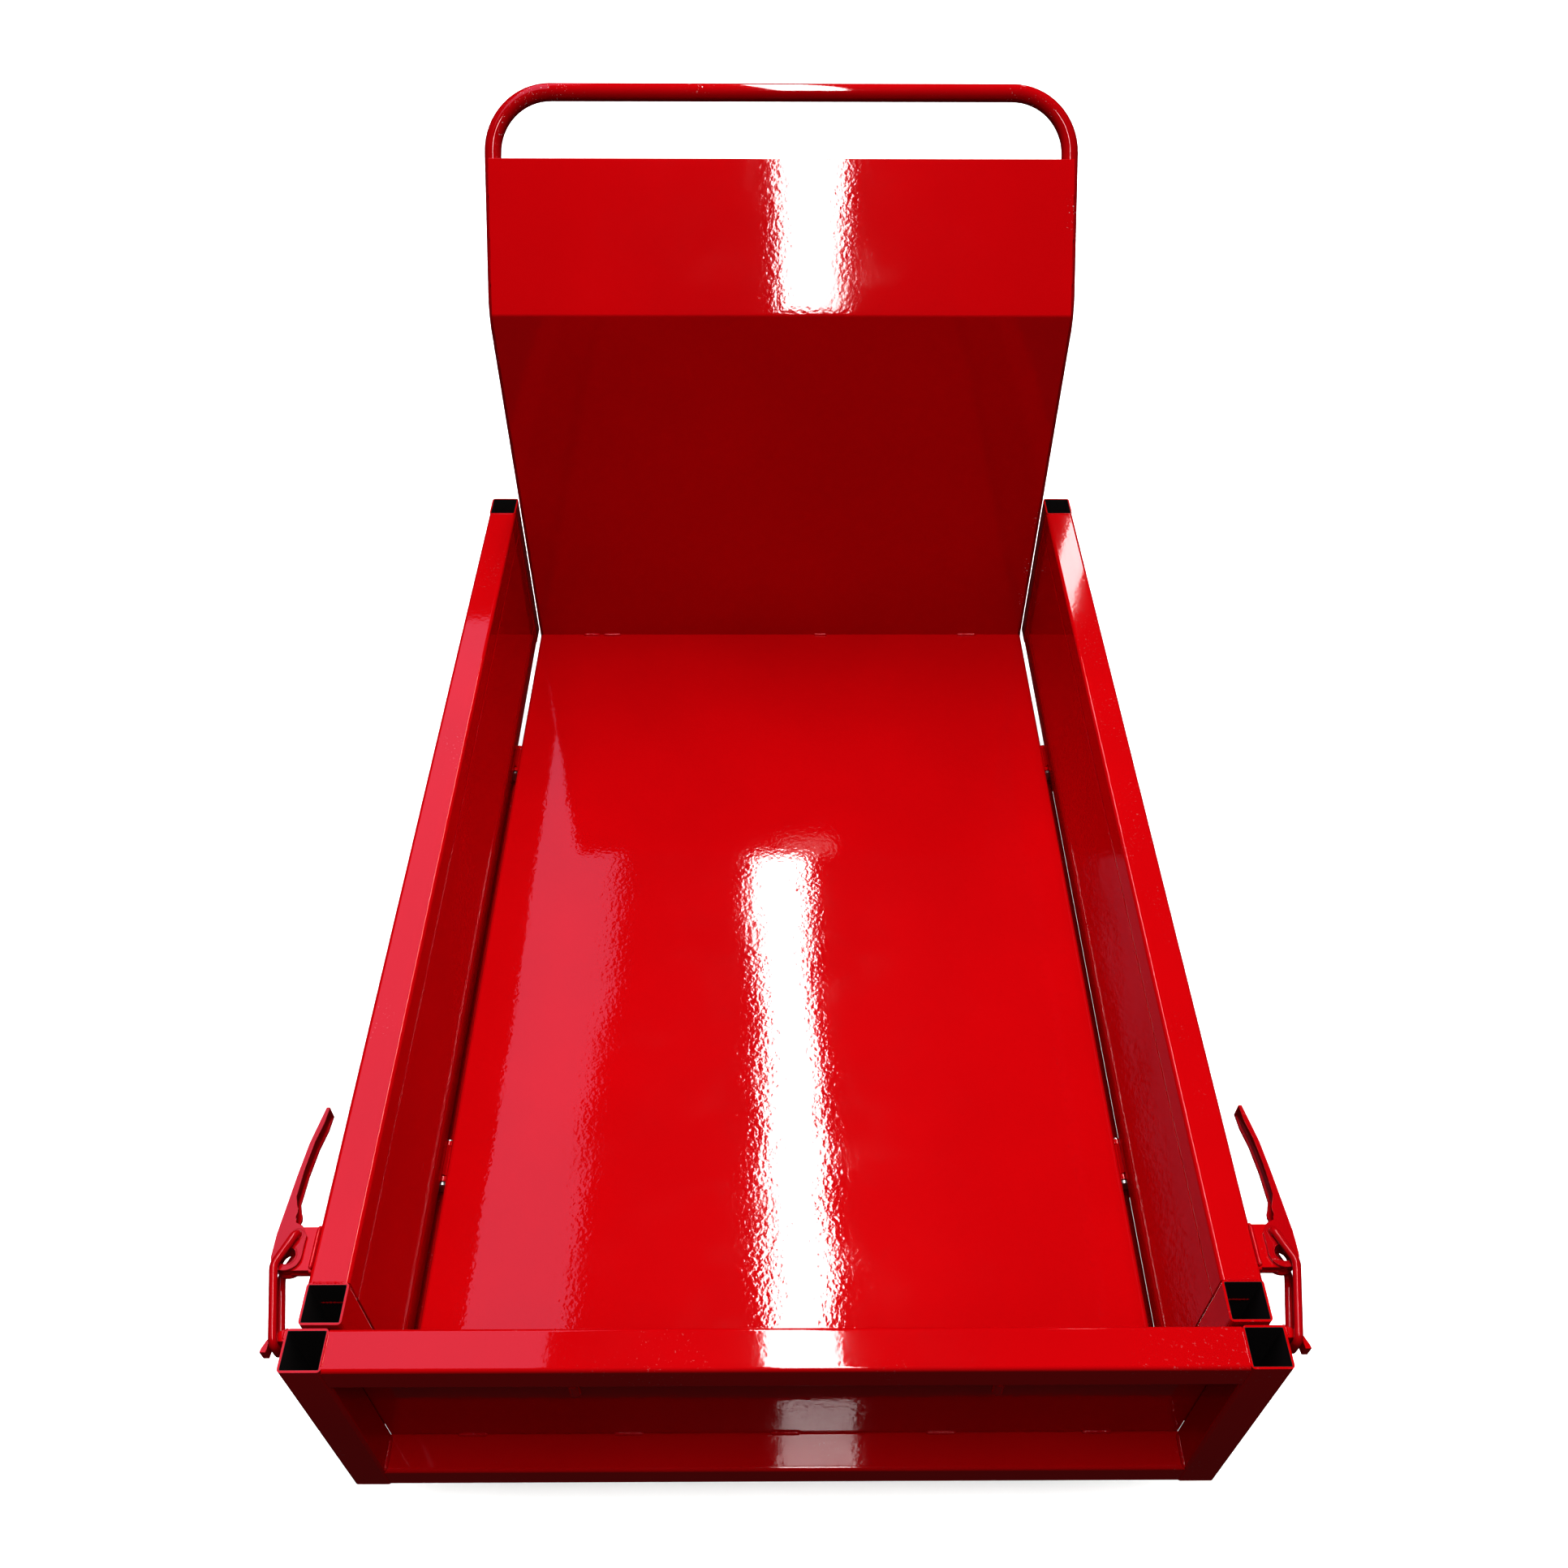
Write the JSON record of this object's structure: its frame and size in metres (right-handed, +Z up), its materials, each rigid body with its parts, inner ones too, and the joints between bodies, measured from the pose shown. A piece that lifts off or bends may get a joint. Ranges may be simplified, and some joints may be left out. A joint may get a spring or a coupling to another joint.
{
  "type": "drop-side load tray",
  "caption": "Drop-side tipping tray with three hinged gates held by over-centre corner latches, a bent headboard and a tube hoop.",
  "frame": {"origin": "centre of the part's bounding box in X and Y, at the underside of the base rails", "axes": "+X to the right of someone who stands before the front gate and faces the headboard; +Y from the front gate back to the headboard; +Z up"},
  "size_m": [0.736, 1.1456, 0.7187],
  "materials": {
    "red_paint": "gloss powder coat",
    "zinc": "zinc plated",
    "steel": "machined"
  },
  "bodies": {
    "bed": {"floor_pan": "red_paint", "cross_member_1": "red_paint", "cross_member_2": "red_paint", "cross_member_3": "red_paint", "cross_member_4": "red_paint", "side_sill_left": "red_paint", "side_sill_right": "red_paint", "base_rail_left": "red_paint", "base_rail_right": "red_paint", "headboard": "red_paint", "hoop": "red_paint", "pivot_bush_left": "steel", "pivot_bush_right": "steel", "strut_lug": "red_paint", "front_hinge_ears": "red_paint", "left_hinge_ears": "red_paint", "right_hinge_ears": "red_paint", "front_hinge_pins": "zinc", "left_hinge_pins": "zinc", "right_hinge_pins": "zinc"},
    "front_gate": {"front_top_rail": "red_paint", "front_bottom_rail": "red_paint", "front_post_left": "red_paint", "front_post_right": "red_paint", "front_panel": "red_paint", "front_hinge_lugs": "red_paint", "keeper_left": "red_paint", "keeper_right": "red_paint", "rope_pegs": "red_paint"},
    "left_gate": {"left_top_rail": "red_paint", "left_bottom_rail": "red_paint", "left_front_post": "red_paint", "left_rear_post": "red_paint", "left_panel": "red_paint", "left_hinge_lugs": "red_paint", "left_latch_bracket": "red_paint", "left_latch_pivot": "red_paint"},
    "left_latch_lever": {"left_lever": "red_paint"},
    "left_latch_toes": {"left_toe_bushes": "red_paint"},
    "left_latch_bail": {"left_bail": "red_paint"},
    "right_gate": {"right_top_rail": "red_paint", "right_bottom_rail": "red_paint", "right_front_post": "red_paint", "right_rear_post": "red_paint", "right_panel": "red_paint", "right_hinge_lugs": "red_paint", "right_latch_bracket": "red_paint", "right_latch_pivot": "red_paint"},
    "right_latch_lever": {"right_lever": "red_paint"},
    "right_latch_toes": {"right_toe_bushes": "red_paint"},
    "right_latch_bail": {"right_bail": "red_paint"}
  },
  "joints": [
    {"name": "front_gate_drop", "type": "hinge", "parent": "bed", "child": "front_gate", "pos_m": [0, -0.54176, 0.054], "axis": [1, 0, 0], "range_deg": [0, 90]},
    {"name": "left_gate_drop", "type": "hinge", "parent": "bed", "child": "left_gate", "pos_m": [-0.3095, -0.05326, 0.095], "axis": [0, -1, 0], "range_deg": [0, 90]},
    {"name": "left_lever_open", "type": "hinge", "parent": "left_gate", "child": "left_latch_lever", "pos_m": [-0.3571, -0.49146, 0.299], "axis": [0, 0, 1], "range_deg": [0, 90]},
    {"name": "left_toes_follow", "type": "hinge", "parent": "left_latch_lever", "child": "left_latch_toes", "pos_m": [-0.353, -0.47576, 0.299], "axis": [0, 0, 1], "range_deg": [-75, 0]},
    {"name": "left_bail_swing", "type": "hinge", "parent": "left_latch_toes", "child": "left_latch_bail", "pos_m": [-0.353, -0.47576, 0.299], "axis": [0, 0, -1], "range_deg": [0, 80]},
    {"name": "right_gate_drop", "type": "hinge", "parent": "bed", "child": "right_gate", "pos_m": [0.3095, -0.05326, 0.095], "axis": [0, 1, 0], "range_deg": [0, 90]},
    {"name": "right_lever_open", "type": "hinge", "parent": "right_gate", "child": "right_latch_lever", "pos_m": [0.3571, -0.49146, 0.299], "axis": [0, 0, -1], "range_deg": [0, 90]},
    {"name": "right_toes_follow", "type": "hinge", "parent": "right_latch_lever", "child": "right_latch_toes", "pos_m": [0.353, -0.47576, 0.299], "axis": [0, 0, -1], "range_deg": [-75, 0]},
    {"name": "right_bail_swing", "type": "hinge", "parent": "right_latch_toes", "child": "right_latch_bail", "pos_m": [0.353, -0.47576, 0.299], "axis": [0, 0, 1], "range_deg": [0, 80]}
  ],
  "couplings": [
    {"joint": "left_toes_follow", "follows": "left_lever_open", "ratio": -0.83},
    {"joint": "right_toes_follow", "follows": "right_lever_open", "ratio": -0.83}
  ]
}
